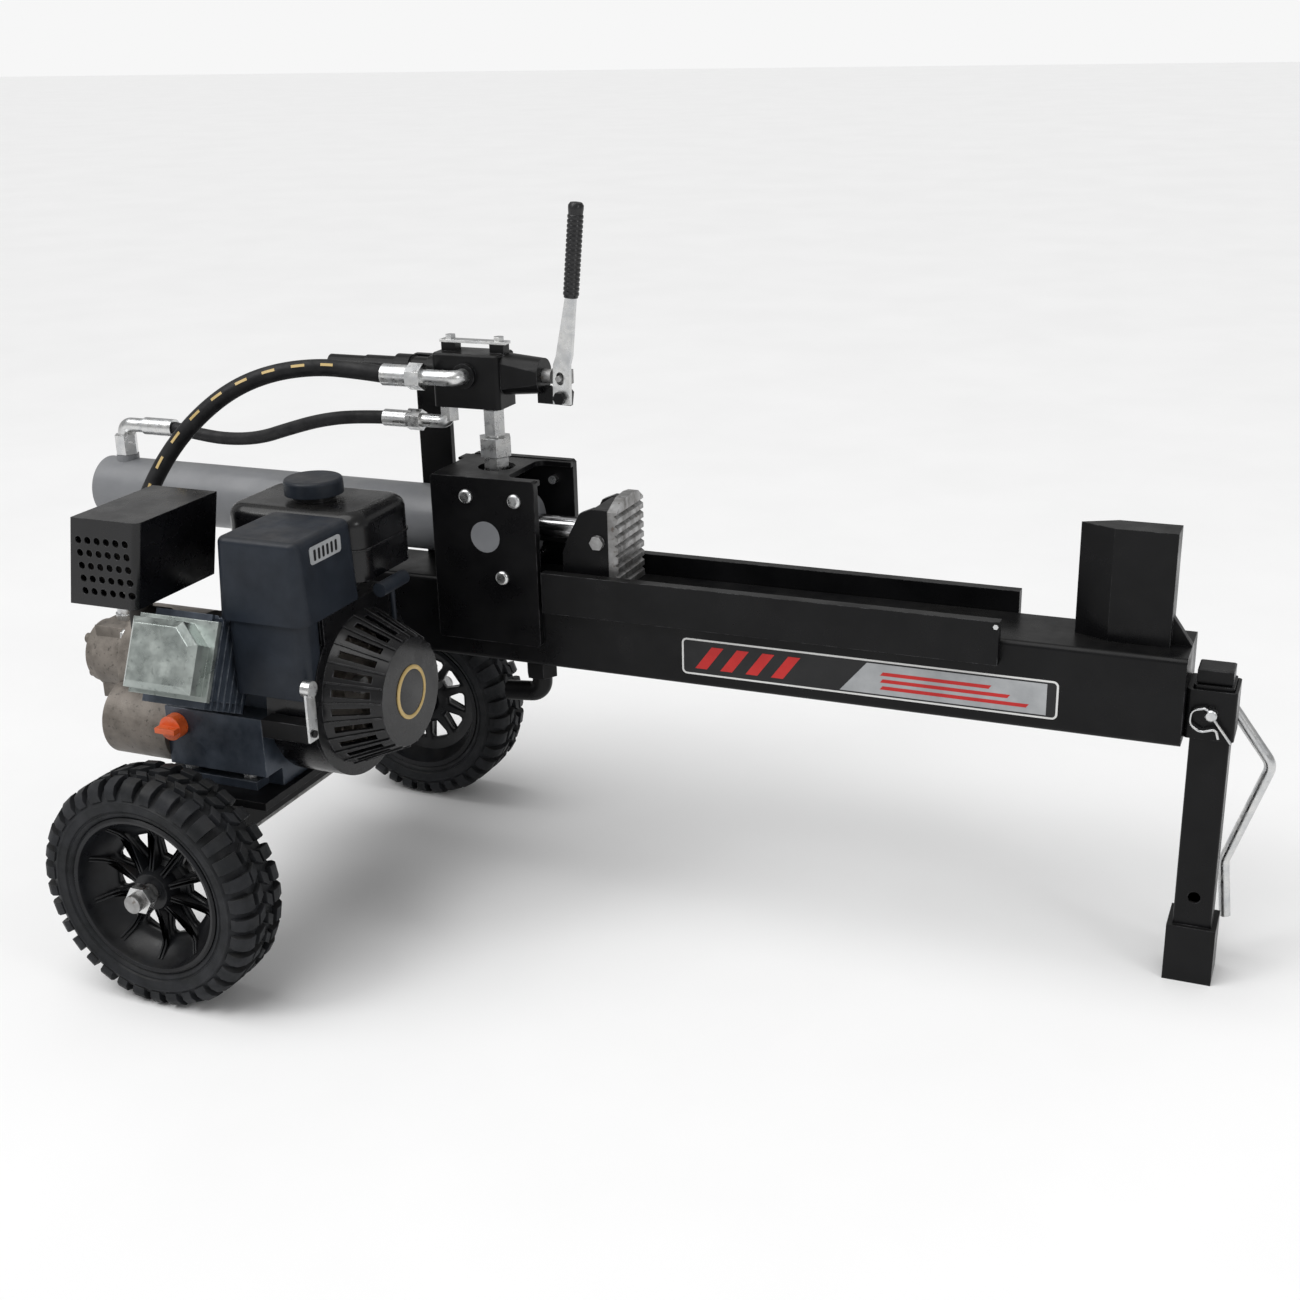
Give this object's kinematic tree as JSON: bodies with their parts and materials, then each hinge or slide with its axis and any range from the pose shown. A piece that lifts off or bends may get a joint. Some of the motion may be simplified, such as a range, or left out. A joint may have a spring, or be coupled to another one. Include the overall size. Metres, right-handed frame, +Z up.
{
  "type": "log splitter",
  "caption": "Petrol hydraulic log splitter: square beam on two wheels and a leg, ram and push plate facing a fixed wedge, side-mounted engine and pump, lever valve.",
  "frame": {"origin": "middle of the footprint at ground level, under the centre of the bounding box without the hoses", "axes": "+X along the beam from the ram towards the wedge, +Y across from the engine side to the far wheel, +Z up"},
  "size_m": [1.4532, 0.68, 0.811],
  "materials": {
    "black_paint": "satin black powder coat",
    "bare_steel": "worn bare steel",
    "grey_paint": "satin grey enamel",
    "chrome_rod": "hard chrome",
    "zinc_plate": "bright zinc plate",
    "hose_rubber": "matt black rubber",
    "grip_vinyl": "ridged vinyl",
    "cast_grey": "rough casting",
    "engine_paint": "dark blue grey enamel over casting",
    "cast_aluminium": "bright die casting",
    "black_steel": "gloss black enamel",
    "black_plastic": "fine texture",
    "hot_steel": "heat proof black",
    "orange_plastic": "glossy orange",
    "rim_plastic": "black moulded",
    "tyre_rubber": "black block tread"
  },
  "bodies": {
    "frame": {"beam_tube": "black_paint", "beam_end_caps": "black_paint", "guide_rails": "black_paint", "wedge": "black_paint", "tower_plate_near": "black_paint", "tower_plate_far": "black_paint", "tower_top_plate": "black_paint", "frame_bolts": "zinc_plate", "leg_sleeve": "black_paint", "leg": "black_paint", "axle": "bare_steel", "axle_bracket": "black_paint", "engine_plate": "black_paint", "cylinder_barrel": "grey_paint", "cylinder_gland": "grey_paint", "valve_body": "black_paint", "valve_strap": "zinc_plate", "detent_housing": "black_paint", "lever_link": "black_paint", "valve_bracket": "black_paint", "port_adapter": "zinc_plate", "hose_fittings": "zinc_plate", "suction_fitting": "black_paint", "pressure_hose": "hose_rubber", "cylinder_hose": "hose_rubber", "pump_body": "cast_grey", "pump_mount": "cast_grey", "crankcase": "engine_paint", "cylinder_block": "engine_paint", "valve_cover": "cast_aluminium", "blower_housing": "black_steel", "recoil_cover": "black_steel", "fuel_tank": "black_steel", "air_cleaner_base": "black_plastic", "carburettor": "engine_paint", "muffler": "hot_steel", "muffler_guard": "black_steel", "control_bracket": "black_paint", "engine_bolts": "zinc_plate"},
    "near_wheel": {"near_wheel_tyre": "tyre_rubber", "near_wheel_rim": "rim_plastic"},
    "far_wheel": {"far_wheel_tyre": "tyre_rubber", "far_wheel_rim": "rim_plastic"},
    "ram": {"piston": "bare_steel", "piston_rod": "chrome_rod", "pusher_frame": "black_paint", "push_plate": "bare_steel", "rod_pin": "bare_steel"},
    "spool": {"valve_spool": "bare_steel"},
    "lever": {"valve_lever": "zinc_plate", "lever_grip": "grip_vinyl"},
    "leg_lock_pin": {"leg_pin": "zinc_plate"},
    "clip": {"r_clip": "zinc_plate"},
    "crank": {"crankshaft": "bare_steel", "flywheel": "cast_grey"},
    "starter_handle": {"recoil_handle": "black_plastic"},
    "tank_cap": {"fuel_cap": "black_plastic"},
    "dipstick": {"oil_cap": "orange_plastic"},
    "air_filter_cover": {"air_cleaner_cover": "black_plastic"},
    "throttle": {"throttle_lever": "zinc_plate"}
  },
  "joints": [
    {"name": "near_wheel_spin", "type": "hinge", "parent": "frame", "child": "near_wheel", "pos_m": [-0.3646, -0.288, 0.1325], "axis": [0, 1, 0], "continuous": true},
    {"name": "far_wheel_spin", "type": "hinge", "parent": "frame", "child": "far_wheel", "pos_m": [-0.3646, 0.288, 0.1325], "axis": [0, 1, 0], "continuous": true},
    {"name": "ram_slide", "type": "slide", "parent": "frame", "child": "ram", "axis": [1, 0, 0], "range_m": [0, 0.41]},
    {"name": "lever_swing", "type": "hinge", "parent": "frame", "child": "lever", "pos_m": [-0.0646, 0.124, 0.595], "axis": [0, 1, 0], "range_deg": [-18, 18], "stiffness_Nm_per_rad": 2},
    {"name": "spool_slide", "type": "slide", "parent": "frame", "child": "spool", "axis": [1, 0, 0], "range_m": [-0.0075, 0.0075]},
    {"name": "pin_handle_swing", "type": "hinge", "parent": "frame", "child": "leg_lock_pin", "pos_m": [0.6614, 0.138, 0.314], "axis": [0, 1, 0], "range_deg": [-120, 20]},
    {"name": "clip_turn", "type": "hinge", "parent": "leg_lock_pin", "child": "clip", "pos_m": [0.6614, 0.1076, 0.314], "axis": [-0.6051, 0, 0.7962], "range_deg": [0, 90]},
    {"name": "crank_spin", "type": "hinge", "parent": "frame", "child": "crank", "pos_m": [-0.3646, -0.097, 0.31], "axis": [1, 0, 0], "continuous": true},
    {"name": "starter_pull", "type": "slide", "parent": "frame", "child": "starter_handle", "axis": [0, 0, 1], "range_m": [0, 0.045]},
    {"name": "fuel_cap_lift", "type": "slide", "parent": "frame", "child": "tank_cap", "axis": [0, 0, 1], "range_m": [0, 0.06]},
    {"name": "dipstick_pull", "type": "slide", "parent": "frame", "child": "dipstick", "axis": [0, -1, 0], "range_m": [0, 0.045]},
    {"name": "air_cover_lift", "type": "slide", "parent": "frame", "child": "air_filter_cover", "axis": [0, 0, 1], "range_m": [0, 0.12]},
    {"name": "throttle_swing", "type": "hinge", "parent": "frame", "child": "throttle", "pos_m": [-0.2066, -0.214, 0.3], "axis": [1, 0, 0], "range_deg": [-25, 25]}
  ],
  "couplings": [
    {"joint": "spool_slide", "follows": "lever_swing", "m_per_rad": 0.022}
  ]
}
